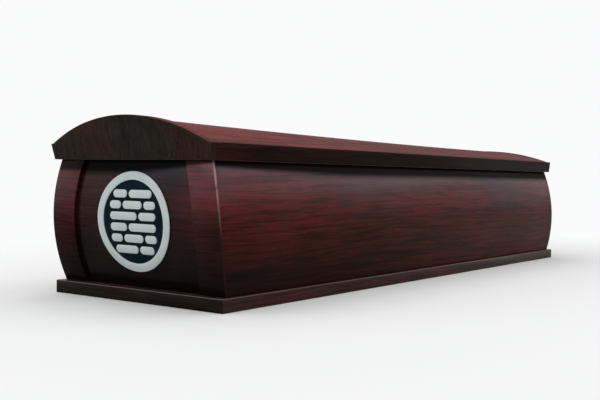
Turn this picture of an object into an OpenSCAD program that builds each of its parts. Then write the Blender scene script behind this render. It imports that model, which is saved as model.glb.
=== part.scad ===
// Wooden coffin with barrel-curved walls, a domed lift-off lid and a round emblem on its head end.
// Millimetres. +Z is up, +Y runs from the head end to the foot end, +X is to the right of
// someone who faces the head end. The origin is on the underside, at the base board's centre.

/* [Base board] */
// Length of the base board, head to foot
base_l = 2000; // [1400:10:2400]
// Width of the base board
base_w = 558; // [460:2:760]
// Thickness of the base board
base_t = 32; // [18:1:60]

/* [Body] */
// Height of the walls above the base board
wall_h = 306; // [254:2:420]
// Thickness of the side walls and end boards
wall_t = 20; // [12:1:30]
// Base board showing beside the foot of each side wall
side_ledge = 10; // [4:1:40]
// Base board showing in front of each end of the body
end_ledge = 23; // [6:1:60]
// How far each side wall's top edge is in from its bottom edge
side_lean_in = 16; // [0:1:30]
// How far the head end's top edge is out from its bottom edge
head_lean_out = 31; // [0:1:50]
// How far the foot end's top edge is in from its bottom edge
foot_lean_in = 4; // [0:1:30]
// How far the side walls swell out between their edges
side_bulge = 19; // [4:1:35]
// How far the ends swell out between their edges
end_bulge = 19; // [4:1:35]

/* [Corner stiles] */
// Width of each upright stile
stile_w = 80; // [40:1:120]
// How far the stiles stand proud of the end boards
stile_t = 10; // [5:1:16]

/* [Lid] */
// Lid edge's overhang past the top of each side wall
side_overhang = 15; // [4:1:30]
// Lid edge's overhang past the top of the head end
head_overhang = 13; // [4:1:18]
// Lid edge's overhang past the top of the foot end
foot_overhang = 16; // [4:1:18]
// Height of the flat band round the lid
rail_h = 39; // [26:1:70]
// Width of the underside of each side rail
rail_w = 52; // [44:1:80]
// How much wider the band is at its top, on each side
rail_flare = 4; // [0:0.5:12]
// Thickness of the arched end boards
arch_board_t = 30; // [28:1:40]
// Lean of the arched head board, out of upright, in degrees
head_board_tilt = 13.5; // [0:0.5:18]
// Lean of the arched foot board, out of upright, in degrees
foot_board_tilt = 1; // [0:0.5:18]
// Flat shoulder at each end of the arches
shoulder = 12; // [6:1:30]
// Rise of the head board's arch above the band
head_rise = 65; // [34:1:110]
// Rise of the foot board's arch above the band
foot_rise = 44; // [34:1:110]
// Thickness of the curved crown sheet
crown_t = 12; // [6:1:18]
// How far the crown's middle lies below the top of the head board
head_step = 6; // [1:1:12]
// How far the crown's middle lies below the top of the foot board
foot_step = 2; // [1:1:12]
// Dip of the crown half way along
crown_dip = 5; // [0:1:12]

/* [Emblem] */
// Radius of the emblem
emblem_r = 120; // [80:1:144]
// Width of the white ring
ring_w = 20; // [8:1:30]
// Thickness of the dark plate
plate_t = 2; // [1:0.5:4]
// How far the ring and strokes stand proud of the plate
relief_t = 2; // [1:0.5:4]
// How far the emblem's centre is above the middle of the wall
emblem_rise = 6; // [0:1:8]
// Number of rows of strokes
rows = 6; // [5:1:8]
// Gap between one row and the next
row_gap = 7.5; // [3:0.5:9]
// Gap between the strokes in a row
stroke_gap = 7; // [4:1:12]
// Half the longest row
row_reach = 75; // [50:1:84]
// Least distance between a stroke and the ring
stroke_margin = 5; // [3:1:12]

/* [Hidden] */
// Facets on the large wall and lid arcs, and on small rounds
$fn = 360;
small_fn = 48;
// Facets of the crown across and along
crown_across = 32;
crown_along = 12;
// Larger than any part, for cutting shapes
reach = 4 * max(base_l, base_w);
// Room above an arch for the shapes that cut it
spare = 1;

// Heights of the rim, and of the top of the lid's band
rim_z = base_t + wall_h;
band_z = rim_z + rail_h;

// An arc is [centre's u, centre's z, radius] in a section's own u-z plane. It runs from the point
// (u0, base_t) to (u1, rim_z), and swells out by bulge away from u = 0. dir is the sign of its side.
function arc_through(u0, u1, bulge, dir) =
    let (
        du = u1 - u0,
        chord = sqrt(du * du + wall_h * wall_h),
        radius = (chord * chord / 4 + bulge * bulge) / (2 * bulge),
        back = radius - bulge
    ) [
        (u0 + u1) / 2 - dir * wall_h / chord * back,
        (base_t + rim_z) / 2 + dir * du / chord * back,
        radius
    ];

// Half width of the body at its foot and rim, and the y of the head's and foot's bottom and top edges
foot_half_w = base_w / 2 - side_ledge;
rim_half_w = foot_half_w - side_lean_in;
end_y = base_l / 2 - end_ledge;
rim_head_y = -end_y - head_lean_out;
rim_foot_y = end_y - foot_lean_in;

right_arc = arc_through(foot_half_w, rim_half_w, side_bulge, 1);
left_arc = [-right_arc[0], right_arc[1], right_arc[2]];
head_arc = arc_through(-end_y, rim_head_y, end_bulge, -1);
foot_arc = arc_through(end_y, rim_foot_y, end_bulge, 1);

// Lid: half widths of the band at its bottom and top, and the arch's half width
band_half_w = rim_half_w + side_overhang;
band_top_half_w = band_half_w + rail_flare;
arch_half_w = band_top_half_w - shoulder;
lid_head_y = rim_head_y - head_overhang;
lid_foot_y = rim_foot_y + foot_overhang;
lid_top_z = band_z + max(head_rise, foot_rise) + spare;

// Radius of an arch that rises by rise over a half width of half_w
function arch_radius(half_w, rise) = (half_w * half_w + rise * rise) / (2 * rise);

// Emblem: height of its centre, radius free for strokes inside the ring, and the part of that radius
// that the middles of the outermost rows reach
emblem_z = base_t + wall_h / 2 + emblem_rise;
stroke_field_r = emblem_r - ring_w - stroke_margin;
row_spread = 0.7;
row_pitch = 2 * row_spread * stroke_field_r / (rows - 1);
stroke_h = row_pitch - row_gap;

// Each stroke's share of its row, for three kinds of row that take turns
stroke_shares = [[0.38, 0.62], [0.27, 0.46, 0.27], [0.62, 0.38]];
function shares(row) = stroke_shares[(row - 1) % len(stroke_shares)];
stroke_names = [
    for (row = [1:rows])
        for (k = [1:len(shares(row))])
            str("emblem_row_", row, "_stroke_", k)
];

// ---- Sections ----

// Everything outside an arc, brought in by inset, on its own side of the section
module beyond_arc(arc, dir, inset) {
    start = max(0, dir * arc[0]);
    difference() {
        translate([dir > 0 ? start : -reach, base_t - reach]) square([reach - start, 2 * reach]);
        translate([arc[0], arc[1]]) circle(r = arc[2] - inset);
    }
}

// The body's section between two bulged walls, with both walls brought in by inset
module bulged_section(low_arc, high_arc, inset) {
    difference() {
        translate([-reach / 2, base_t]) square([reach, wall_h]);
        beyond_arc(low_arc, -1, inset);
        beyond_arc(high_arc, 1, inset);
    }
}

module cross_section(inset) bulged_section(left_arc, right_arc, inset);
module long_section(inset) bulged_section(head_arc, foot_arc, inset);

// The lid's lengthwise outline, with its leaning ends brought in by inset
module lid_long_section(inset) {
    head_run = (lid_top_z - rim_z) * tan(head_board_tilt);
    foot_run = (lid_top_z - rim_z) * tan(foot_board_tilt);
    polygon([
        [lid_head_y + inset, rim_z],
        [lid_foot_y - inset, rim_z],
        [lid_foot_y - inset + foot_run, lid_top_z],
        [lid_head_y + inset - head_run, lid_top_z]
    ]);
}

// The outline of an arched end board: the flared band with the arch on it
module arch_outline(rise) {
    radius = arch_radius(arch_half_w, rise);
    polygon([
        [-band_half_w, rim_z],
        [band_half_w, rim_z],
        [band_top_half_w, band_z],
        [-band_top_half_w, band_z]
    ]);
    intersection() {
        translate([0, band_z + rise - radius]) circle(r = radius);
        translate([-band_top_half_w, band_z]) square([2 * band_top_half_w, rise + spare]);
    }
}

// ---- Ways to use a section ----

// A section drawn in x and z, run along the whole length
module along_y() rotate([90, 0, 0]) linear_extrude(reach, center = true) children();
// A section drawn in y and z, run across the whole width
module along_x() rotate([90, 0, 90]) linear_extrude(reach, center = true) children();
// The half of a section on one side of its middle
module half(dir) {
    intersection() {
        children();
        translate([dir > 0 ? 0 : -reach, 0]) square([reach, reach]);
    }
}

// ---- Body ----

module base_board() {
    color([0.22, 0.09, 0.08])
    translate([-base_w / 2, -base_l / 2, 0])
    cube([base_w, base_l, base_t]);
}

module side_wall(dir) {
    color([0.30, 0.11, 0.10])
    intersection() {
        along_y() half(dir) difference() {
            cross_section(0);
            cross_section(wall_t);
        }
        along_x() long_section(stile_t);
    }
}

module end_board(dir) {
    color([0.26, 0.10, 0.10])
    intersection() {
        along_x() half(dir) difference() {
            long_section(stile_t);
            long_section(stile_t + wall_t);
        }
        along_y() cross_section(wall_t);
    }
}

module stile(end_dir, side_dir) {
    color([0.36, 0.12, 0.11])
    intersection() {
        along_x() half(end_dir) difference() {
            long_section(0);
            long_section(stile_t);
        }
        along_y() half(side_dir) difference() {
            cross_section(0);
            cross_section(stile_w);
        }
    }
}

// ---- Lid ----

module lid_rail(dir) {
    inner = band_half_w - rail_w;
    color([0.24, 0.10, 0.08])
    intersection() {
        along_y() polygon([
            [dir * inner, rim_z],
            [dir * band_half_w, rim_z],
            [dir * band_top_half_w, band_z],
            [dir * inner, band_z]
        ]);
        along_x() lid_long_section(arch_board_t);
    }
}

module lid_end_board(dir, rise) {
    color([0.20, 0.11, 0.09])
    intersection() {
        along_y() arch_outline(rise);
        along_x() half(dir) difference() {
            lid_long_section(0);
            lid_long_section(arch_board_t);
        }
    }
}

// The crown's rise above the band at a share of the way from the head board to the foot board
function crown_rise(share) =
    (head_rise - head_step) * (1 - share)
    + (foot_rise - foot_step) * share
    - crown_dip * 4 * share * (1 - share);

// One row of points across the crown, in by inset from its outer face. The ends of each row lie on
// the rails. Its y lies between the two end boards' leaning inner faces.
function crown_row(share, inset) =
    let (
        rise = crown_rise(share),
        radius = arch_radius(arch_half_w, rise),
        drop = radius - rise,
        r = radius - inset,
        half_w = sqrt(r * r - drop * drop)
    ) [
        for (i = [0:crown_across])
            let (
                x = half_w * (2 * i / crown_across - 1),
                on_rail = i == 0 || i == crown_across,
                z = band_z + (on_rail ? 0 : sqrt(r * r - x * x) - drop),
                head_y = lid_head_y + arch_board_t - (z - rim_z) * tan(head_board_tilt),
                foot_y = lid_foot_y - arch_board_t + (z - rim_z) * tan(foot_board_tilt)
            ) [x, head_y * (1 - share) + foot_y * share, z]
    ];

// A curved sheet whose rise falls from the head to the foot, closed along the rails and at both ends
module lid_crown() {
    row_n = crown_across + 1;
    inner = (crown_along + 1) * row_n;
    points = [
        for (inset = [0, crown_t])
            for (j = [0:crown_along])
                for (p = crown_row(j / crown_along, inset)) p
    ];
    // A four-sided face as two triangles, and the same turned over
    function quad(a, b, c, d) = [[a, b, c], [a, c, d]];
    skins = [
        for (j = [0:crown_along - 1])
            for (i = [0:crown_across - 1])
                let (a = j * row_n + i, b = a + 1, c = b + row_n, d = a + row_n)
                    for (f = concat(quad(a, d, c, b), quad(inner + a, inner + b, inner + c, inner + d))) f
    ];
    seats = [
        for (j = [0:crown_along - 1])
            let (a = j * row_n, d = a + row_n, b = a + crown_across, c = b + row_n)
                for (f = concat(quad(a, inner + a, inner + d, d), quad(b, c, inner + c, inner + b))) f
    ];
    ends = [
        for (i = [0:crown_across - 1])
            let (a = i, b = i + 1, c = crown_along * row_n + i, d = c + 1)
                for (f = concat(quad(a, b, inner + b, inner + a), quad(c, inner + c, inner + d, d))) f
    ];
    color([0.40, 0.18, 0.16])
    polyhedron(points = points, faces = concat(skins, seats, ends), convexity = 6);
}

// ---- Emblem ----

// A flat shape, drawn about the emblem's centre, laid on the bulged head board from low to high above it
module on_head_board(low, high) {
    intersection() {
        along_x() half(-1) difference() {
            long_section(stile_t - high);
            long_section(stile_t - low);
        }
        along_y() translate([0, emblem_z]) children();
    }
}

module emblem_plate() {
    color([0.05, 0.12, 0.18]) on_head_board(0, plate_t) circle(r = emblem_r);
}

module emblem_ring() {
    color([0.92, 0.94, 0.94])
    on_head_board(plate_t, plate_t + relief_t)
    difference() {
        circle(r = emblem_r);
        circle(r = emblem_r - ring_w);
    }
}

// Height of a row's middle above the emblem's centre, and half its length, within the ring
function row_mid(row) = row_pitch * ((rows + 1) / 2 - row);
function row_half(row) =
    let (end_r = stroke_h / 2, field_r = stroke_field_r - end_r)
    min(row_reach, end_r + sqrt(field_r * field_r - row_mid(row) * row_mid(row)));
// Sum of the shares before stroke k of a row
function share_before(list, k) = k <= 1 ? 0 : list[k - 2] + share_before(list, k - 1);

// A bar with round ends, from x0 to x1
module bar(x0, x1, h) {
    for (x = [x0 + h / 2, x1 - h / 2]) translate([x, 0]) circle(d = h, $fn = small_fn);
    translate([x0 + h / 2, -h / 2]) square([x1 - x0 - h, h]);
}

module emblem_stroke(row, k) {
    list = shares(row);
    ink = 2 * row_half(row) - stroke_gap * (len(list) - 1);
    x0 = -row_half(row) + ink * share_before(list, k) + stroke_gap * (k - 1);
    color([0.92, 0.94, 0.94])
    on_head_board(plate_t, plate_t + relief_t)
    translate([0, row_mid(row)])
    bar(x0, x0 + ink * list[k - 1], stroke_h);
}

// ---- Nodes ----

base_board();
side_wall(-1);  // side_wall_left
side_wall(1);  // side_wall_right
end_board(-1);  // head_board
end_board(1);  // foot_board
stile(-1, -1);  // head_stile_left
stile(-1, 1);  // head_stile_right
stile(1, -1);  // foot_stile_left
stile(1, 1);  // foot_stile_right
lid_rail(-1);  // lid_rail_left
lid_rail(1);  // lid_rail_right
lid_end_board(-1, head_rise);  // lid_head_board
lid_end_board(1, foot_rise);  // lid_foot_board
lid_crown();
emblem_plate();
emblem_ring();
for (row = [1:rows])
    for (k = [1:len(shares(row))])
        emblem_stroke(row, k);
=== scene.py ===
"""Looks of a wooden coffin: curved boards in dark glossy veneer, a domed lid and a round emblem.

Metres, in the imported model's own frame: +Z is up, the head end faces -Y, and +X is to the right of
someone who faces the head end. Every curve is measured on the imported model.
"""

import math
from collections import namedtuple

import bmesh
import bpy
from mathutils import Matrix, Vector


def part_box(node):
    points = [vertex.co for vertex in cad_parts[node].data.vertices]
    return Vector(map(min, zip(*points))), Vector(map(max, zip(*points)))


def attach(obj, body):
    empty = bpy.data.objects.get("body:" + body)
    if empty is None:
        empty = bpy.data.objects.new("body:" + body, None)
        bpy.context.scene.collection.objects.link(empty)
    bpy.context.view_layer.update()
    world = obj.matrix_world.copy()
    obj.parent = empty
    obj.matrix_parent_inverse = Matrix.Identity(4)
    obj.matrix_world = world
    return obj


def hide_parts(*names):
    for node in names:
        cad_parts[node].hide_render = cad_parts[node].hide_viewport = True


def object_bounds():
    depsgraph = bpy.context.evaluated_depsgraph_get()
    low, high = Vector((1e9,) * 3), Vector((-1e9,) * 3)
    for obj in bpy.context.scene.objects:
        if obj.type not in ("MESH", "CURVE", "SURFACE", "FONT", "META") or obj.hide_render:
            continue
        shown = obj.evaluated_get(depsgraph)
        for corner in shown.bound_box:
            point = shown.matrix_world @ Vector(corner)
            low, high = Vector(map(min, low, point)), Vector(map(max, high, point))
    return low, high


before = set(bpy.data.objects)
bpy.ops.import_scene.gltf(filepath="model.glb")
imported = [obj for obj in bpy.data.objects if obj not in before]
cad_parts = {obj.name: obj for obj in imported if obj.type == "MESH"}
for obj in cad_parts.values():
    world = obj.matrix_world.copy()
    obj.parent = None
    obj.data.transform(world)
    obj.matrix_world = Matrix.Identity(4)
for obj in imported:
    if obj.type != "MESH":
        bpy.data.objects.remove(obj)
cad_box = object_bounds()

# ---- Sizes in metres, and angles in degrees ----

WALL_T = 0.020  # side walls and end boards
STILE_W = 0.080
RAIL_W = 0.052
SHOULDER = 0.012  # flat step at each end of the lid's arches
CROWN_T = 0.012
RING_W = 0.020
PLATE_T = 0.002
RELIEF_T = 0.002  # ring and strokes, over the plate

ARRIS = 0.0030  # rounding of the body's upright corners
BASE_EDGE = 0.00195  # rounding of the base board's upper edges, with a pale line that is partly wear and partly painted highlight
SOFT_EDGE = 0.0015
FINE_EDGE = 0.0006
LID_CORNER = 0.0050  # flat chamfer on the lid's upright corners
SHARP = math.radians(30)
TOUCH = 1e-5
NEAR = 1e-4  # how far a straight edge may lie inside the curve it follows

# Least part of a unit normal or direction along an axis, for what is flat, bulged or leaning
SQUARE = 0.9
BULGED = 0.8
LEANING = 0.5

BODY_STRIPS = 40
ARCH_STRIPS = 64
CROWN_STRIPS = 24
ROUND_STEPS = 96
STROKE_STEPS = 48
PLATE_LEVELS = 24

# ---- The veneer's figure ----

# How a pattern is scaled along the grain and across it
FINE_GRAIN = (0.03, 1.0, 1.0)
WAVE_GRAIN = (0.05, 1.0, 1.0)
PATCH_GRAIN = (0.28, 1.0, 1.0)
STRAY_GRAIN = (0.8, 3.0, 3.0)
STRAY = 0.05  # how far the grain strays from a straight line
STREAK_PART = 0.72  # part of the tone that the streaks give, and the waves give the rest
WAVE_PART = 0.28
NOISE_MIDDLE = (0.35, 0.65)  # where most values of a noise lie
NOISE_WIDE = (0.3, 0.7)
STREAK_RELIEF = 0.3  # how much the streaks stand proud, against the pores' depth of 1
PORE_EDGES = (0.52, 0.68)
PORE_DARKNESS = 0.45
PORE_COLOUR = (0.004, 0.002, 0.002, 1)
RED_EDGES = (0.42, 0.62)  # values of the patches between which they turn red
RED_RISE = (0.12, 0.27)  # heights between which the red comes up to its full strength
RED_LEAST = 0.42  # and its strength below them
RED_STREAKS = (0.36, 0.60)  # values of the streaks between which they take more of the red
STREAK_LEAST = 0.35
# Plum patches rise high on the body: partly the wood's tone and partly a painted violet sheen of the
# lacquer
PLUM_EDGES = (0.40, 0.58)
PLUM_RISE = (0.17, 0.28)
FLAME_CORE = 0.04  # distances from a flame between which its red fades
FLAME_REACH = 0.16

# ---- Painted shade, dust, wear and gloss ----

FOOT_SHADE_LOW = 0.04  # height where the painted shade towards the floor is full
CLOUD_LIFT = 0.08  # how far the shade's and the gloss's edges wander up and down
SHINE_LOW = 0.17  # heights between which the gloss fades
SHINE_HIGH = 0.33
RIM_FADE = (0.55, 1.15)  # start and end of the painted shade's fade under the lid, as shares of its depth
RIM_DULLING = 0.95  # share of the gloss that the painted shade under the lid takes away
POLISH = (0.86, 1.08)  # least and most gloss that the hand polish leaves, as shares
POLISH_STROKES = (1.0, 0.1, 1.0)  # scale of the strokes across and along the coffin
FACING_UP = (0.55, 0.95)  # how level a face has to be to hold dust
SPECKS = (0.35, 0.75)
# Colour of the painted shade near the floor and under the lid
SHADE_COLOUR = (0.003, 0.003, 0.003, 1)
DUST_COLOUR = (0.34, 0.30, 0.28, 1)
CHIP_EDGES = (0.30, 0.55)
CHIP_LEAST = 0.35
BRUSH_STROKES = (0.3, 1.0, 1.0)
# Roughness where a noise is low, and where it is high
LACQUER_ROUGHNESS = (0.50, 0.36)
WORN_ROUGHNESS = (0.25, 0.45)
ENAMEL_ROUGHNESS = (0.45, 0.57)
BARE_ROUGHNESS = (0.62, 0.78)

# ---- Colours ----

BLACK_BROWN = (0.018, 0.006, 0.004, 1)
RED = (0.20, 0.020, 0.031, 1)
# PLUM is partly the wood's tone and partly a painted violet sheen
PLUM = (0.092, 0.030, 0.046, 1)
NAVY = (0.001, 0.008, 0.015, 1)
OFF_WHITE = (0.80, 0.90, 0.89, 1)

# ---- Camera, floor and light ----

CAMERA_PLACE = (1.572, -2.511, 0.305)
CAMERA_TURN = 35.78  # to the left of +Y
CAMERA_PITCH = -1.49
CAMERA_ROLL = 0.94
CAMERA_LENS = 54.4  # mm, on a 36 mm sensor

FLOOR_R = 40
FLOOR_GAP = 0.0003  # keeps the floor off the base board's underside
FADE_NEAR = 0.05  # distances from the coffin between which the floor turns into the backdrop
FADE_FAR = 1.5
PALE = (0.86, 0.86, 0.86, 1)
DIM_FLOOR = (0.45, 0.44, 0.43, 1)
BACKDROP = (0.965, 0.968, 0.97, 1)
COOL = (0.86, 0.90, 1.0)
HORIZON_LIGHT = (0.20, 0.20, 0.20, 1)
SKY_LIGHT = (0.60, 0.60, 0.60, 1)


# ---- Camera ----


def make_camera():
    camera = bpy.data.objects.new("camera", bpy.data.cameras.new("camera"))
    bpy.context.scene.collection.objects.link(camera)
    camera.data.sensor_width = 36
    camera.data.lens = CAMERA_LENS
    turn = Matrix.Rotation(math.radians(CAMERA_TURN), 4, "Z")
    pitch = Matrix.Rotation(math.radians(90 + CAMERA_PITCH), 4, "X")
    roll = Matrix.Rotation(math.radians(CAMERA_ROLL), 4, "Z")
    camera.matrix_world = Matrix.Translation(CAMERA_PLACE) @ turn @ pitch @ roll
    bpy.context.scene.camera = camera


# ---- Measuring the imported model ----

# The circle that a curved face follows: its centre, its radius and the side of the centre it is on
Arc = namedtuple("Arc", "centre height radius side")


def corners(node):
    return [v.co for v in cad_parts[node].data.vertices]


def outermost(node, axis, side, z):
    """How far a node reaches to one side, at a height where it has corners."""
    return side * max(side * c[axis] for c in corners(node) if abs(c.z - z) < TOUCH)


def arc_of(node, axis, side):
    """The circle through the bottom, the widest place and the top of a node's outer face."""
    low, high = (corner.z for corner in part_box(node))
    widest = max(corners(node), key=lambda c: side * c[axis])
    a = Vector((outermost(node, axis, side, low), low))
    b = Vector((widest[axis], widest.z))
    c = Vector((outermost(node, axis, side, high), high))
    ab, ac = b - a, c - a
    twice_area = 2 * (ab.x * ac.y - ab.y * ac.x)
    across = ac.y * ab.length_squared - ab.y * ac.length_squared
    up = ab.x * ac.length_squared - ac.x * ab.length_squared
    from_a = Vector((across, up)) / twice_area
    return Arc(a.x + from_a.x, a.y + from_a.y, from_a.length, side)


def reach(arc, z, inset=0):
    """Where an arc, brought in by inset, is at a height."""
    radius = arc.radius - inset
    return arc.centre + arc.side * math.sqrt(radius**2 - (z - arc.height) ** 2)


def slope_of(node, axis, side):
    """A leaning flat face, as a function that gives its place at a height."""
    low, high = (corner.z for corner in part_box(node))
    start, end = (outermost(node, axis, side, z) for z in (low, high))
    return lambda z: start + (end - start) * (z - low) / (high - low)


def between(start, end, share):
    return start + (end - start) * share


# ---- Ways to shape a piece ----


def add_primitive(kind, name, **how):
    bpy.ops.object.select_all(action="DESELECT")
    getattr(bpy.ops.mesh, f"primitive_{kind}_add")(**how)
    piece = bpy.context.object
    piece.name = piece.data.name = name
    bpy.ops.object.transform_apply(location=True, rotation=True, scale=True)
    return piece


def edit(piece):
    bpy.ops.object.select_all(action="DESELECT")
    bpy.context.view_layer.objects.active = piece
    piece.select_set(True)
    bpy.ops.object.mode_set(mode="EDIT")
    bpy.ops.mesh.select_mode(type="EDGE")
    bpy.ops.mesh.select_all(action="DESELECT")


def done():
    bpy.ops.object.mode_set(mode="OBJECT")


def pick_edges(piece, wanted):
    """Selects the edges whose two ends pass a test. Edit mode."""
    shell = bmesh.from_edit_mesh(piece.data)
    for edge in shell.edges:
        edge.select_set(wanted(edge))
    bmesh.update_edit_mesh(piece.data)


def cut_strips(piece, axis, count):
    """Cuts a block into equal strips along an axis."""
    edit(piece)

    def lengthwise(edge):
        step = edge.verts[1].co - edge.verts[0].co
        return abs(step[axis]) > step.length * SQUARE

    pick_edges(piece, lengthwise)
    bpy.ops.mesh.subdivide(number_cuts=count - 1)
    done()


def shaped_block(name, strips, shape):
    """A cube from -1 to 1, cut into strips and then put in shape.

    strips gives how many strips each cut axis has, and shape(x, y, z) gives each corner's place.
    """
    piece = add_primitive("cube", name, size=2)
    for axis, count in strips.items():
        cut_strips(piece, axis, count)
    for vertex in piece.data.vertices:
        vertex.co = shape(*vertex.co)
    return piece


def soften(piece, width, segments=2, wanted=None, paint=-1):
    """Rounds the sharp edges that pass a test on their middle and direction.

    paint is the slot of the new faces' finish, or -1 for that of the faces beside them.
    """
    edit(piece)

    def sharp(edge):
        if not edge.is_manifold or edge.calc_face_angle() < SHARP:
            return False
        a, b = (v.co for v in edge.verts)
        return wanted is None or wanted((a + b) / 2, (b - a).normalized())

    pick_edges(piece, sharp)
    bpy.ops.mesh.bevel(
        offset=width, segments=segments, affect="EDGES", clamp_overlap=True, material=paint
    )
    done()


def upright(middle, direction):
    return abs(direction.z) > BULGED


def smooth(piece):
    bpy.ops.object.select_all(action="DESELECT")
    bpy.context.view_layer.objects.active = piece
    piece.select_set(True)
    bpy.ops.object.shade_smooth_by_angle(angle=SHARP)


def paint_faces(piece, slot, wanted):
    """Gives the faces whose normal passes a test the finish in that slot."""
    for face in piece.data.polygons:
        if wanted(face.normal):
            face.material_index = slot


# ---- Shader groups ----


def fill(tree, socket, value):
    """Links a socket to another node's output, or sets it to a plain value."""
    if isinstance(value, bpy.types.NodeSocket):
        tree.links.new(value, socket)
    else:
        socket.default_value = value


def add_node(tree, kind, settings=None, **inputs):
    """A shader node with its inputs filled by values or by other nodes' outputs.

    An input is named with _ for each space, or with i and its number.
    """
    node = tree.nodes.new(kind)
    for name, value in (settings or {}).items():
        setattr(node, name, value)
    for name, value in inputs.items():
        fill(tree, node.inputs[int(name[1:]) if name[1:].isdigit() else name.replace("_", " ")], value)
    return node


def math_node(tree, operation, first, second):
    return add_node(tree, "ShaderNodeMath", {"operation": operation}, i0=first, i1=second).outputs[0]


def vector_node(tree, operation, first, **second):
    return add_node(tree, "ShaderNodeVectorMath", {"operation": operation}, i0=first, **second).outputs


def ramp(tree, value, low, high, start=0.0, end=1.0):
    """A smooth step from start to end as value goes from low to high."""
    return add_node(
        tree,
        "ShaderNodeMapRange",
        {"interpolation_type": "SMOOTHSTEP"},
        Value=value,
        From_Min=low,
        From_Max=high,
        To_Min=start,
        To_Max=end,
    ).outputs["Result"]


def blend_colours(tree, share, first, second):
    """Mixes two colours. The Mix node's colour sockets are numbers 6 and 7 in, and 2 out."""
    node = add_node(tree, "ShaderNodeMix", {"data_type": "RGBA"}, i0=share, i6=first, i7=second)
    return node.outputs[2]


def noise(tree, vector, scale, detail=3.0, roughness=0.55, distortion=0.0):
    return add_node(
        tree,
        "ShaderNodeTexNoise",
        Vector=vector,
        Scale=scale,
        Detail=detail,
        Roughness=roughness,
        Distortion=distortion,
    ).outputs["Fac"]


def stretched(tree, vector, scale):
    return add_node(tree, "ShaderNodeMapping", Vector=vector, Scale=scale).outputs["Vector"]


def gain(tree, coords, drift):
    """How much is gained at a place, for a drift given as the gain with each metre along each axis."""
    return vector_node(tree, "DOT_PRODUCT", coords, i1=drift)["Value"]


def z_part(tree, vector):
    return add_node(tree, "ShaderNodeSeparateXYZ", Vector=vector).outputs["Z"]


def object_coords(tree):
    return tree.nodes.new("ShaderNodeTexCoord").outputs["Object"]


def new_group(name, inputs, outputs):
    tree = bpy.data.node_groups.new(name, "ShaderNodeTree")
    for label, (kind, default) in inputs.items():
        socket = tree.interface.new_socket(label, in_out="INPUT", socket_type=f"NodeSocket{kind}")
        if default is not None:
            socket.default_value = default
    for label, kind in outputs.items():
        tree.interface.new_socket(label, in_out="OUTPUT", socket_type=f"NodeSocket{kind}")
    return tree, tree.nodes.new("NodeGroupInput").outputs, tree.nodes.new("NodeGroupOutput").inputs


def make_wood_figure():
    """Streaks, pores and patches of a veneer whose grain runs along the vector's X."""
    tree, given, result = new_group(
        "wood_figure",
        {"Vector": ("Vector", None), "Streak Scale": ("Float", 100.0), "Pore Scale": ("Float", 420.0)},
        {"Streaks": "Float", "Pores": "Float", "Patches": "Float", "Waves": "Float"},
    )
    stray = noise(tree, stretched(tree, given["Vector"], STRAY_GRAIN), scale=1.0, detail=2.0)
    lift = math_node(tree, "MULTIPLY", math_node(tree, "SUBTRACT", stray, 0.5), STRAY)
    shift = add_node(tree, "ShaderNodeCombineXYZ", Y=lift, Z=lift).outputs[0]
    bent = vector_node(tree, "ADD", given["Vector"], i1=shift)[0]
    fine = stretched(tree, bent, FINE_GRAIN)
    streaks = noise(tree, fine, given["Streak Scale"], detail=5.0, roughness=0.62, distortion=0.3)
    pores = noise(tree, fine, given["Pore Scale"], detail=2.0, roughness=0.5)
    waves = noise(tree, stretched(tree, bent, WAVE_GRAIN), scale=24.0, roughness=0.6, distortion=0.6)
    wide = stretched(tree, given["Vector"], PATCH_GRAIN)
    patches = noise(tree, wide, scale=6.5, roughness=0.6, distortion=0.4)
    tree.links.new(streaks, result["Streaks"])
    tree.links.new(ramp(tree, pores, *PORE_EDGES), result["Pores"])
    tree.links.new(waves, result["Waves"])
    tree.links.new(patches, result["Patches"])
    return tree


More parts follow.
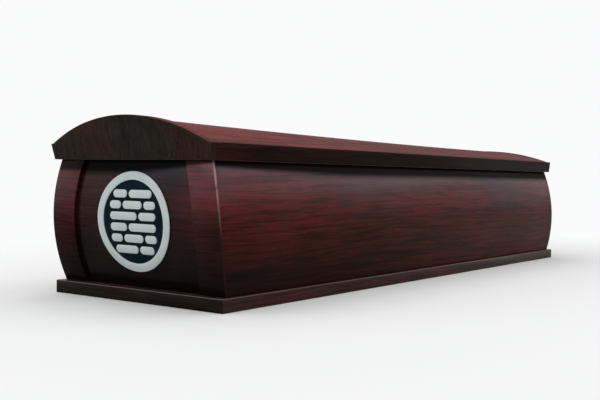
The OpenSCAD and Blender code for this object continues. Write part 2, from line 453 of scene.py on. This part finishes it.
def make_painted_shade_gloss_and_dust():
    """Painted shade near the floor and under the lid, gloss that fades downwards, and dust on what faces
    up.

    A drift says how much is gained with each metre along each axis. The painted shade under the lid
    reaches down by Rim Depth, or less where Rim Spread and its drift come to less than 1.
    """
    tree, given, result = new_group(
        "painted_shade_gloss_and_dust",
        {
            "Color": ("Color", (0.1, 0.05, 0.04, 1)),
            "Foot Shade": ("Float", 0.0),
            "Foot Drift": ("Vector", (0, 0, 0)),
            "Foot Top": ("Float", 0.25),
            "Rim Shade": ("Float", 0.0),
            "Rim Depth": ("Float", 0.02),
            "Rim Spread": ("Float", 1.0),
            "Rim Drift": ("Vector", (0, 0, 0)),
            "Dull": ("Float", 0.1),
            "Shine": ("Float", 1.0),
            "Gloss Drift": ("Vector", (0, 0, 0)),
            "Dust": ("Float", 0.0),
        },
        {"Color": "Color", "Gloss": "Float", "Dust": "Float"},
    )
    geometry = tree.nodes.new("ShaderNodeNewGeometry").outputs
    coords = object_coords(tree)
    height = z_part(tree, coords)
    cloud = noise(tree, coords, scale=5.0, detail=4.0, roughness=0.6)
    lift = math_node(tree, "MULTIPLY", math_node(tree, "SUBTRACT", cloud, 0.5), CLOUD_LIFT)
    uneven = math_node(tree, "ADD", height, lift)
    # Painted shade: the colour grows darker towards the floor
    foot = ramp(tree, uneven, FOOT_SHADE_LOW, given["Foot Top"], 1.0, 0.0)
    foot_shade = math_node(tree, "ADD", given["Foot Shade"], gain(tree, coords, given["Foot Drift"]))
    # Painted shade in a band under the lid's overhang
    below_rim = math_node(tree, "SUBTRACT", rim, height)
    in_body = math_node(tree, "GREATER_THAN", below_rim, 0.0)
    spread = math_node(tree, "ADD", given["Rim Spread"], gain(tree, coords, given["Rim Drift"]))
    depth = math_node(tree, "MULTIPLY", given["Rim Depth"], math_node(tree, "MINIMUM", spread, 1.0))
    fade = ramp(tree, math_node(tree, "DIVIDE", below_rim, depth), *RIM_FADE, 1.0, 0.0)
    under = math_node(tree, "MULTIPLY", math_node(tree, "MULTIPLY", fade, in_body), given["Rim Shade"])
    shade = math_node(tree, "MAXIMUM", math_node(tree, "MULTIPLY", foot, foot_shade), under)
    upper = ramp(tree, z_part(tree, geometry["Normal"]), *FACING_UP)
    specks = ramp(tree, noise(tree, coords, scale=260.0, detail=2.0), *SPECKS)
    dust = math_node(tree, "MULTIPLY", math_node(tree, "MULTIPLY", upper, specks), given["Dust"])
    # The painted shade darkens the colour, and the dust then lightens what faces up
    darker = blend_colours(tree, shade, given["Color"], SHADE_COLOUR)
    dusty = blend_colours(tree, dust, darker, DUST_COLOUR)
    faded = ramp(tree, uneven, SHINE_LOW, SHINE_HIGH, given["Dull"], given["Shine"])
    gloss = math_node(tree, "ADD", faded, gain(tree, coords, given["Gloss Drift"]))
    kept = math_node(tree, "SUBTRACT", 1.0, math_node(tree, "MULTIPLY", under, RIM_DULLING))
    strokes = noise(tree, stretched(tree, coords, POLISH_STROKES), scale=14.0, roughness=0.6)
    polish = ramp(tree, strokes, *NOISE_MIDDLE, *POLISH)
    polished = math_node(tree, "MULTIPLY", math_node(tree, "MULTIPLY", gloss, kept), polish)
    tree.links.new(dusty, result["Color"])
    tree.links.new(polished, result["Gloss"])
    tree.links.new(dust, result["Dust"])
    return tree


# ---- Materials ----


def new_material(name, **plain):
    material = bpy.data.materials.new(name)
    material.use_nodes = True
    tree = material.node_tree
    shader = tree.nodes["Principled BSDF"]
    for label, value in plain.items():
        shader.inputs[label.replace("_", " ")].default_value = value
    return material, tree, shader.inputs


def connect(tree, shader, sources):
    """Links outputs to the shader's sockets of the same names."""
    for label, source in sources.items():
        tree.links.new(source, shader[label])


def bumps(tree, height, strength, distance):
    node = add_node(tree, "ShaderNodeBump", Strength=strength, Distance=distance, Height=height)
    return node.outputs[0]


def place_group(tree, group, **inputs):
    node = tree.nodes.new("ShaderNodeGroup")
    node.node_tree = group
    for label, value in inputs.items():
        fill(tree, node.inputs[label.replace("_", " ")], value)
    return node.outputs


# How the coordinates turn so that the grain runs along X
GRAIN = {"x": (0, 0, 0), "y": (0, 0, -math.pi / 2), "z": (0, math.pi / 2, 0)}


def along_grain(tree, coords, grain):
    return add_node(tree, "ShaderNodeMapping", Vector=coords, Rotation=GRAIN[grain]).outputs[0]


def veneer(name, grain, colours, redness, plum=0.0, plum_tint=PLUM, streaks=130.0, flame=None, **shade_dust_gloss_settings):
    """Lacquered veneer: dark and brown streaks, red and plum patches, fine pores and a glossy coat.

    A flame is a place round which the figure turns red.
    """
    dark, brown, red = colours
    coat = {"Coat_Roughness": 0.22, "Coat_IOR": 1.35}
    material, tree, shader = new_material(name, Specular_IOR_Level=0.0, **coat)
    coords = object_coords(tree)
    turned = along_grain(tree, coords, grain)
    figure = place_group(tree, wood_figure, Vector=turned, Streak_Scale=streaks)
    height = z_part(tree, coords)
    from_streaks = math_node(tree, "MULTIPLY", figure["Streaks"], STREAK_PART)
    from_waves = math_node(tree, "MULTIPLY", figure["Waves"], WAVE_PART)
    tone = math_node(tree, "ADD", from_streaks, from_waves)
    colour = blend_colours(tree, ramp(tree, tone, *NOISE_MIDDLE), dark, brown)
    glow = math_node(tree, "MULTIPLY", ramp(tree, figure["Patches"], *RED_EDGES), redness)
    if flame:
        away = vector_node(tree, "DISTANCE", coords, i1=flame)["Value"]
        glow = math_node(tree, "MAXIMUM", glow, ramp(tree, away, FLAME_CORE, FLAME_REACH, 1.0, 0.0))
    raised = math_node(tree, "MULTIPLY", glow, ramp(tree, height, *RED_RISE, RED_LEAST, 1.0))
    redder = ramp(tree, figure["Streaks"], *RED_STREAKS, STREAK_LEAST, 1.0)
    colour = blend_colours(tree, math_node(tree, "MULTIPLY", raised, redder), colour, red)
    # Plum patches, only high up: partly the wood's tone and partly a painted violet sheen
    if plum:
        cool = math_node(tree, "MULTIPLY", ramp(tree, figure["Patches"], *PLUM_EDGES, 1.0, 0.0), plum)
        cool = math_node(tree, "MULTIPLY", cool, ramp(tree, height, *PLUM_RISE))
        colour = blend_colours(tree, cool, colour, plum_tint)
    pores = math_node(tree, "MULTIPLY", figure["Pores"], PORE_DARKNESS)
    # The group paints shade near the floor and under the lid into the colour, adds dust and sets the
    # gloss
    shade_dust_gloss = place_group(tree, painted_shade_gloss_and_dust, Color=blend_colours(tree, pores, colour, PORE_COLOUR), **shade_dust_gloss_settings)
    satin = ramp(tree, figure["Streaks"], *NOISE_WIDE, *LACQUER_ROUGHNESS)
    ridges = math_node(tree, "MULTIPLY", figure["Streaks"], STREAK_RELIEF)
    relief = math_node(tree, "SUBTRACT", ridges, figure["Pores"])
    links = {
        "Base Color": shade_dust_gloss["Color"],
        "Roughness": math_node(tree, "ADD", satin, shade_dust_gloss["Dust"]),
        "Coat Weight": shade_dust_gloss["Gloss"],
        "Normal": bumps(tree, relief, strength=0.25, distance=0.0004),
    }
    connect(tree, shader, links)
    return material


def rubbed_and_highlit_edge(name, pale, under, low, high):
    """A pale line along an edge, partly worn lacquer and partly painted highlight: pale above, fading to
    the wood's colour from high to low.
    """
    coat = {"Coat_Weight": 0.15, "Coat_Roughness": 0.2}
    material, tree, shader = new_material(name, Specular_IOR_Level=0.0, **coat)
    coords = object_coords(tree)
    height = z_part(tree, coords)
    pale_share = ramp(tree, height, low, high)
    chips = noise(tree, coords, scale=55.0, detail=4.0, roughness=0.65)
    patchy = ramp(tree, chips, *CHIP_EDGES, CHIP_LEAST, 1.0)
    links = {
        "Base Color": blend_colours(tree, math_node(tree, "MULTIPLY", pale_share, patchy), under, pale),
        "Roughness": ramp(tree, noise(tree, coords, scale=140.0), *NOISE_WIDE, *WORN_ROUGHNESS),
        "Normal": bumps(tree, noise(tree, coords, scale=300.0), strength=0.2, distance=0.0003),
    }
    connect(tree, shader, links)
    return material


def enamel(name, colour, mottle):
    """Flat paint with a faint mottle and brush texture."""
    coat = {"Coat_Weight": 0.1, "Coat_Roughness": 0.2}
    material, tree, shader = new_material(name, Specular_IOR_Level=0.0, **coat)
    coords = object_coords(tree)
    cloud = noise(tree, coords, scale=22.0, detail=4.0, roughness=0.6)
    grit = noise(tree, stretched(tree, coords, BRUSH_STROKES), scale=500.0)
    links = {
        "Base Color": blend_colours(tree, ramp(tree, cloud, *NOISE_WIDE), colour, mottle),
        "Roughness": ramp(tree, grit, *NOISE_WIDE, *ENAMEL_ROUGHNESS),
        "Normal": bumps(tree, grit, strength=0.15, distance=0.0002),
    }
    connect(tree, shader, links)
    return material


def bare_wood(name, dark, pale):
    """Plain unlacquered board, for the underside and the inside."""
    material, tree, shader = new_material(name, Specular_IOR_Level=0.25)
    coords = object_coords(tree)
    figure = place_group(tree, wood_figure, Vector=along_grain(tree, coords, "y"), Streak_Scale=45.0)
    links = {
        "Base Color": blend_colours(tree, ramp(tree, figure["Streaks"], *NOISE_MIDDLE), dark, pale),
        "Roughness": ramp(tree, figure["Streaks"], *NOISE_WIDE, *BARE_ROUGHNESS),
        "Normal": bumps(tree, figure["Streaks"], strength=0.4, distance=0.0005),
    }
    connect(tree, shader, links)
    return material


# ---- Pieces ----


def finish(piece, node):
    """Smooths a finished piece and puts it in the place of its node, on the coffin's one body."""
    smooth(piece)
    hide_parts(node)
    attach(piece, "root")


def give(piece, *materials):
    for material in materials:
        piece.data.materials.append(material)


def height_at(share):
    """Height in the body, for a share from -1 at its bottom to 1 at its rim."""
    return between(base_top, rim, (share + 1) / 2)


def make_base_board():
    low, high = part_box("base_board")
    centre, half = (low + high) / 2, (high - low) / 2

    def shape(x, y, z):
        return centre + Vector((half.x * x, half.y * y, half.z * z))

    piece = shaped_block("finished_base_board", {}, shape)
    give(piece, base_wood, base_edge, base_end_wood, bare_board)
    paint_faces(piece, 2, lambda normal: abs(normal.y) > SQUARE)
    paint_faces(piece, 3, lambda normal: normal.z < -SQUARE)
    # The rounded upper edges take the pale line: partly wear and partly painted highlight
    soften(piece, BASE_EDGE, 3, lambda middle, direction: middle.z > base_top / 2, paint=1)
    soften(piece, SOFT_EDGE)
    finish(piece, "base_board")


def make_side_wall(side, name):
    def shape(x, y, z):
        height = height_at(z)
        inset = 0 if x * side > 0 else WALL_T
        end = between(reach(head_field, height), reach(foot_field, height), (y + 1) / 2)
        return (side * reach(side_arc, height, inset), end, height)

    piece = shaped_block(f"finished_side_wall_{name}", {2: BODY_STRIPS}, shape)
    give(piece, side_wood, bare_board)
    paint_faces(piece, 1, lambda normal: normal.x * side < -LEANING)
    soften(piece, FINE_EDGE / 2, 1)
    finish(piece, f"side_wall_{name}")


def make_end_board(arc, node):
    def shape(x, y, z):
        height = height_at(z)
        inset = 0 if y * arc.side > 0 else WALL_T
        return (x * reach(side_arc, height, WALL_T), reach(arc, height, inset), height)

    piece = shaped_block(f"finished_{node}", {2: BODY_STRIPS}, shape)
    give(piece, field_wood, bare_board)
    paint_faces(piece, 1, lambda normal: normal.y * arc.side < -LEANING)
    finish(piece, node)


def make_stile(outer, field, side, node):
    def shape(x, y, z):
        height = height_at(z)
        inset = 0 if x * side > 0 else STILE_W
        face = outer if y * outer.side > 0 else field
        return (side * reach(side_arc, height, inset), reach(face, height), height)

    def arris(middle, direction):
        out = side * middle.x > reach(side_arc, middle.z, NEAR)
        front = outer.side * middle.y > outer.side * reach(outer, middle.z, NEAR)
        return upright(middle, direction) and out and front

    def step(middle, direction):
        return upright(middle, direction) and side * middle.x < reach(side_arc, middle.z, STILE_W / 2)

    piece = shaped_block(f"finished_{node}", {2: BODY_STRIPS}, shape)
    give(piece, stile_wood, body_edge, side_wood, field_wood)
    paint_faces(piece, 2, lambda normal: normal.x * side > BULGED)
    paint_faces(piece, 3, lambda normal: normal.x * side < -BULGED)
    # The arris's rounding takes a pale line, partly wear and partly painted highlight
    soften(piece, ARRIS, 4, arris, paint=1)
    soften(piece, SOFT_EDGE, wanted=step)
    finish(piece, node)


def make_lid_rail(side, name):
    node = f"lid_rail_{name}"
    face = slope_of(node, 0, side)
    head_face, foot_face = slope_of(node, 1, -1), slope_of(node, 1, 1)

    def shape(x, y, z):
        height = between(rim, band_top, (z + 1) / 2)
        outside = side * face(height)
        across = outside if x * side > 0 else side * face(rim) - RAIL_W
        return (side * across, between(head_face(height), foot_face(height), (y + 1) / 2), height)

    piece = shaped_block(f"finished_{node}", {}, shape)
    give(piece, rail_wood, bare_board)
    paint_faces(piece, 1, lambda normal: normal.z < -SQUARE or normal.x * side < -LEANING)
    soften(piece, SOFT_EDGE, wanted=lambda middle, direction: abs(direction.y) > SQUARE)
    finish(piece, node)


def make_lid_end_board(side, node):
    front, back = slope_of(node, 1, side), slope_of(node, 1, -side)
    half_low = outermost(node, 0, 1, rim)
    half_top = outermost(node, 0, 1, band_top)
    arch_half = half_top - SHOULDER
    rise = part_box(node)[1].z - band_top
    radius = (arch_half**2 + rise**2) / (2 * rise)
    # The outermost strip on each side is the flat shoulder
    inner = 1 - 2 / ARCH_STRIPS

    def shape(x, y, z):
        share = x / inner * arch_half / half_top if abs(x) <= inner + TOUCH else math.copysign(1, x)
        if z < 0:
            height, across = rim, share * half_low
        else:
            across = share * half_top
            over = radius**2 - min(abs(across), arch_half) ** 2
            height = band_top + math.sqrt(over) - (radius - rise)
        place = front(height) if y * side > 0 else back_of(height)
        return (across, place, height)

    # The board is as thick all the way up as it is at the rim
    def back_of(height):
        return front(height) - side * abs(front(rim) - back(rim))

    def outer_corner(middle, direction):
        on_face = middle.y * side > front(middle.z) * side - NEAR
        on_end = abs(middle.x) > arch_half and middle.z < band_top
        return on_face and on_end and upright(middle, direction)

    piece = shaped_block(f"finished_{node}", {0: ARCH_STRIPS}, shape)
    give(piece, lid_end_wood, lid_edge, bare_board, crown_wood, rail_wood)
    paint_faces(piece, 2, lambda normal: normal.z < -SQUARE)
    paint_faces(piece, 3, lambda normal: normal.z > LEANING)
    paint_faces(piece, 4, lambda normal: abs(normal.x) > SQUARE)
    soften(piece, LID_CORNER, 1, outer_corner)
    soften(piece, SOFT_EDGE, 3, lambda middle, direction: middle.z > band_top - TOUCH, paint=1)
    finish(piece, node)


def make_crown():
    head_face, foot_face = slope_of("lid_head_board", 1, 1), slope_of("lid_foot_board", 1, -1)
    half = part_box("lid_crown")[1].x
    ridge = sorted((c for c in corners("lid_crown") if abs(c.x) < TOUCH), key=lambda c: c.y)
    top = [c for c in ridge if c.z > ridge_line(ridge, c.y) - CROWN_T / 2]
    head_rise, foot_rise = top[0].z - band_top, top[-1].z - band_top
    middle_rise = top[len(top) // 2].z - band_top
    dip = (head_rise + foot_rise) / 2 - middle_rise

    def shape(x, y, z):
        share = (y + 1) / 2
        # The ridge falls below the straight line from head to foot, most of all half way along
        rise = between(head_rise, foot_rise, share) - 4 * dip * share * (1 - share)
        radius = (half**2 + rise**2) / (2 * rise)
        drop = radius - rise
        outer = radius if z > 0 else radius - CROWN_T
        across = x * math.sqrt(outer**2 - drop**2)
        height = band_top + math.sqrt(max(outer**2 - across**2, drop**2)) - drop
        return (across, between(head_face(height), foot_face(height), share), height)

    piece = shaped_block("finished_lid_crown", {0: ARCH_STRIPS, 1: CROWN_STRIPS}, shape)
    give(piece, crown_wood, bare_board)
    paint_faces(piece, 1, lambda normal: normal.z < 0)
    finish(piece, "lid_crown")


def ridge_line(ridge, y):
    """Height of the highest corner of the ridge near a place along it."""
    near = min(abs(c.y - y) for c in ridge)
    return max(c.z for c in ridge if abs(c.y - y) < near + CROWN_T)


# ---- Emblem ----


def lay_on_head(piece, below):
    """Bends a flat upright piece, whose back is at y = 0, onto the head board and what lies below it."""
    for vertex in piece.data.vertices:
        vertex.co.y = reach(head_field, vertex.co.z, vertex.co.y - below)


def emblem_disc(name, centre, radius, thick, steps):
    return add_primitive(
        "cylinder",
        name,
        vertices=steps,
        radius=radius,
        depth=thick,
        location=(centre.x, -thick / 2, centre.z),
        rotation=(math.pi / 2, 0, 0),
    )


def make_emblem_plate(centre, radius):
    piece = emblem_disc("finished_emblem_plate", centre, radius, PLATE_T, ROUND_STEPS)
    edit(piece)
    for level in range(1, PLATE_LEVELS):
        height = centre.z + radius * (2 * level / PLATE_LEVELS - 1)
        bpy.ops.mesh.select_all(action="SELECT")
        bpy.ops.mesh.bisect(plane_co=(0, 0, height), plane_no=(0, 0, 1))
    done()
    lay_on_head(piece, 0)
    give(piece, navy)
    finish(piece, "emblem_plate")


def make_emblem_ring(centre, radius):
    """A flat band spun about the emblem's centre."""
    middle = Vector((centre.x + radius - RING_W / 2, -RELIEF_T / 2, centre.z))
    piece = add_primitive("plane", "finished_emblem_ring", size=1, location=middle)
    for vertex in piece.data.vertices:
        vertex.co.x = middle.x + math.copysign(RING_W / 2, vertex.co.x - middle.x)
        vertex.co.y = middle.y + math.copysign(RELIEF_T / 2, vertex.co.y - middle.y)
    edit(piece)
    bpy.ops.mesh.select_all(action="SELECT")
    bpy.ops.mesh.delete(type="ONLY_FACE")
    bpy.ops.mesh.select_all(action="SELECT")
    bpy.ops.mesh.spin(steps=ROUND_STEPS, angle=math.tau, center=centre, axis=(0, 1, 0))
    bpy.ops.mesh.select_all(action="SELECT")
    bpy.ops.mesh.remove_doubles(threshold=TOUCH)
    bpy.ops.mesh.normals_make_consistent(inside=False)
    done()
    soften(piece, FINE_EDGE, wanted=lambda middle, direction: middle.y < -RELIEF_T / 2)
    lay_on_head(piece, PLATE_T)
    give(piece, off_white)
    finish(piece, "emblem_ring")


def make_stroke(node):
    """A short bar with round ends: a disc with one half drawn out."""
    low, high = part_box(node)
    radius = (high.z - low.z) / 2
    centre = Vector((low.x + radius, 0, (low.z + high.z) / 2))
    piece = emblem_disc(f"finished_{node}", centre, radius, RELIEF_T, STROKE_STEPS)
    for vertex in piece.data.vertices:
        if vertex.co.x > centre.x + TOUCH:
            vertex.co.x += high.x - low.x - 2 * radius
    soften(piece, FINE_EDGE, wanted=lambda middle, direction: middle.y < -RELIEF_T / 2)
    lay_on_head(piece, PLATE_T)
    give(piece, off_white)
    finish(piece, node)


def make_emblem():
    low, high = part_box("emblem_ring")
    radius = (high.x - low.x) / 2
    centre = Vector(((low.x + high.x) / 2, 0, (low.z + high.z) / 2))
    make_emblem_plate(centre, radius)
    make_emblem_ring(centre, radius)
    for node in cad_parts:
        if "_stroke_" in node:
            make_stroke(node)


# ---- Studio ----


def seen_rays(tree):
    """1 for what is seen directly, mirrored or through glass, and 0 for the light on things."""
    rays = tree.nodes.new("ShaderNodeLightPath").outputs
    seen = math_node(tree, "MAXIMUM", rays["Is Camera Ray"], rays["Is Glossy Ray"])
    return math_node(tree, "MAXIMUM", seen, rays["Is Transmission Ray"])


def make_floor():
    """A pale floor that keeps the coffin's shadow and runs into the backdrop's tone away from it."""
    floor = add_primitive(
        "circle", "floor", vertices=128, radius=FLOOR_R, fill_type="NGON", location=(0, 0, -FLOOR_GAP)
    )
    material, tree, shader = new_material("pale_floor", Roughness=0.9, Specular_IOR_Level=0.0)
    seen = seen_rays(tree)
    tree.links.new(blend_colours(tree, seen, DIM_FLOOR, PALE), shader["Base Color"])
    coords = object_coords(tree)
    low, high = cad_box
    half = ((high[0] - low[0]) / 2, (high[1] - low[1]) / 2, 0)
    folded = vector_node(tree, "ABSOLUTE", coords)[0]
    past = vector_node(tree, "SUBTRACT", folded, i1=half)[0]
    outside = vector_node(tree, "MAXIMUM", past, i1=(0, 0, 0))[0]
    away = vector_node(tree, "LENGTH", outside)["Value"]
    far = math_node(tree, "MULTIPLY", ramp(tree, away, FADE_NEAR, FADE_FAR), seen)
    backdrop = add_node(tree, "ShaderNodeEmission", Color=BACKDROP, Strength=1.0).outputs[0]
    surface = tree.nodes["Principled BSDF"].outputs[0]
    joined = add_node(tree, "ShaderNodeMixShader", Fac=far, i1=surface, i2=backdrop).outputs[0]
    tree.links.new(joined, tree.nodes["Material Output"].inputs["Surface"])
    give(floor, material)


def make_world():
    """Soft light that is dimmer near the horizon. The backdrop that is seen is pale and even."""
    world = bpy.data.worlds.new("studio")
    bpy.context.scene.world = world
    world.use_nodes = True
    tree = world.node_tree
    direction = tree.nodes.new("ShaderNodeTexCoord").outputs["Generated"]
    light = blend_colours(tree, ramp(tree, z_part(tree, direction), 0.0, 0.5), HORIZON_LIGHT, SKY_LIGHT)
    colour = blend_colours(tree, seen_rays(tree), light, BACKDROP)
    tree.links.new(colour, tree.nodes["Background"].inputs["Color"])


def softbox(name, place, target, width, height, radiance, colour=(1, 1, 1)):
    """A rectangular lamp that shines with an even radiance, where 1 is a white wall in plain light."""
    lamp = bpy.data.lights.new(name, "AREA")
    lamp.shape = "RECTANGLE"
    lamp.color = colour
    lamp.size, lamp.size_y = width, height
    lamp.energy = radiance * math.pi * width * height
    holder = bpy.data.objects.new(name, lamp)
    bpy.context.scene.collection.objects.link(holder)
    aim = Vector(target) - Vector(place)
    turn = aim.to_track_quat("-Z", "Y").to_matrix().to_4x4()
    holder.matrix_world = Matrix.Translation(place) @ turn


# ---- Build ----

make_camera()
bpy.context.scene.view_settings.view_transform = "Standard"

base_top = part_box("base_board")[1].z
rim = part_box("side_wall_right")[1].z
band_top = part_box("lid_rail_right")[1].z
side_arc = arc_of("side_wall_right", 0, 1)
head_arc, head_field = arc_of("head_stile_right", 1, -1), arc_of("head_board", 1, -1)
foot_arc, foot_field = arc_of("foot_stile_right", 1, 1), arc_of("foot_board", 1, 1)

wood_figure = make_wood_figure()
painted_shade_gloss_and_dust = make_painted_shade_gloss_and_dust()

END_DRIFT = (-3.0, 0, 0)  # on the ends, the painted shade under the lid gets shallower towards the right

# Foot Shade, Foot Drift and Foot Top paint shade darker towards the floor; the Rim settings paint shade
# under the lid
side_wood = veneer(
    "side_veneer",
    "y",
    (BLACK_BROWN, (0.093, 0.0175, 0.0075, 1), RED),
    redness=0.52,
    plum=0.54,
    flame=(0.28, -0.92, 0.35),
    Foot_Shade=0.34,
    Foot_Drift=(0, -0.48, 0),
    Foot_Top=0.22,
    Rim_Shade=0.95,
    Rim_Depth=0.037,
    Rim_Spread=1.51,
    Rim_Drift=(0, 1.04, 0),
    Dull=0.19,
    Shine=0.60,
    Gloss_Drift=(0, 0.07, 0),
)
stile_wood = veneer(
    "stile_veneer",
    "x",
    (BLACK_BROWN, (0.076, 0.0145, 0.007, 1), RED),
    redness=0.62,
    plum=0.35,
    streaks=140.0,
    flame=(0.25, -1.02, 0.315),
    Foot_Shade=0.92,
    Foot_Top=0.30,
    Rim_Shade=0.85,
    Rim_Depth=0.033,
    Rim_Drift=END_DRIFT,
    Dull=0.18,
    Shine=1.0,
)
field_wood = veneer(
    "field_veneer",
    "x",
    ((0.010, 0.006, 0.005, 1), (0.034, 0.013, 0.011, 1), (0.15, 0.018, 0.019, 1)),
    redness=0.25,
    plum=0.7,
    plum_tint=(0.034, 0.022, 0.038, 1),
    streaks=140.0,
    flame=(0.26, -1.0, 0.23),
    Foot_Shade=0.85,
    Foot_Top=0.25,
    Rim_Shade=0.95,
    Rim_Depth=0.039,
    Rim_Drift=END_DRIFT,
    Dull=0.20,
    Shine=0.66,
)
rail_wood = veneer(
    "rail_veneer",
    "y",
    ((0.007, 0.003, 0.002, 1), (0.016, 0.006, 0.004, 1), (0.040, 0.010, 0.005, 1)),
    redness=0.2,
    flame=(0.28, -1.0, 0.35),
    Dull=0.05,
    Shine=0.14,
    Gloss_Drift=(0, 0.05, 0),
)
crown_wood = veneer(
    "crown_veneer",
    "y",
    ((0.058, 0.019, 0.017, 1), (0.16, 0.044, 0.038, 1), (0.24, 0.032, 0.034, 1)),
    redness=0.5,
    Dull=0.08,
    Shine=0.10,
    Dust=0.03,
)
lid_end_wood = veneer(
    "lid_end_veneer",
    "z",
    ((0.009, 0.010, 0.007, 1), (0.027, 0.024, 0.016, 1), (0.07, 0.018, 0.012, 1)),
    redness=0.5,
    Dull=0.1,
    Shine=0.2,
)
base_wood = veneer(
    "base_veneer",
    "y",
    ((0.018, 0.010, 0.008, 1), (0.072, 0.027, 0.024, 1), RED),
    redness=0.7,
    Dull=0.36,
    Shine=0.36,
    Dust=0.02,
)
base_end_wood = veneer(
    "base_end_veneer",
    "x",
    ((0.010, 0.009, 0.007, 1), (0.027, 0.021, 0.014, 1), RED),
    redness=0.1,
    Dull=0.10,
    Shine=0.10,
)
# body_edge and base_edge are pale lines, partly wear and partly painted highlight
body_edge = rubbed_and_highlit_edge("body_edge", (0.62, 0.37, 0.37, 1), (0.026, 0.009, 0.008, 1), 0.15, 0.36)
base_edge = rubbed_and_highlit_edge("base_edge", (0.115, 0.105, 0.105, 1), (0.08, 0.05, 0.05, 1), 0.0, 0.02)
lid_edge = rubbed_and_highlit_edge("lid_edge", (0.10, 0.045, 0.035, 1), (0.06, 0.03, 0.024, 1), 0.36, 0.40)
bare_board = bare_wood("bare_board", (0.10, 0.055, 0.035, 1), (0.20, 0.12, 0.075, 1))
navy = enamel("navy_enamel", NAVY, (0.002, 0.017, 0.030, 1))
off_white = enamel("off_white_enamel", OFF_WHITE, (0.74, 0.84, 0.82, 1))

make_base_board()
for side, name in ((-1, "left"), (1, "right")):
    make_side_wall(side, name)
    make_stile(head_arc, head_field, side, f"head_stile_{name}")
    make_stile(foot_arc, foot_field, side, f"foot_stile_{name}")
    make_lid_rail(side, name)
make_end_board(head_field, "head_board")
make_end_board(foot_field, "foot_board")
make_lid_end_board(-1, "lid_head_board")
make_lid_end_board(1, "lid_foot_board")
make_crown()
make_emblem()

make_floor()
make_world()
softbox("key_overhead", (0.0, -0.5, 4.0), (0, 0, 0), width=5.0, height=5.0, radiance=1.3)
softbox("side_glow", (4.2, 5.5, 2.6), (0.2, 0.0, 0.3), width=7.0, height=1.9, radiance=1.6, colour=COOL)
softbox("front_glow", (-3.0, -4.6, 2.1), (0, -1.0, 0.3), width=4.5, height=1.8, radiance=1.6, colour=COOL)
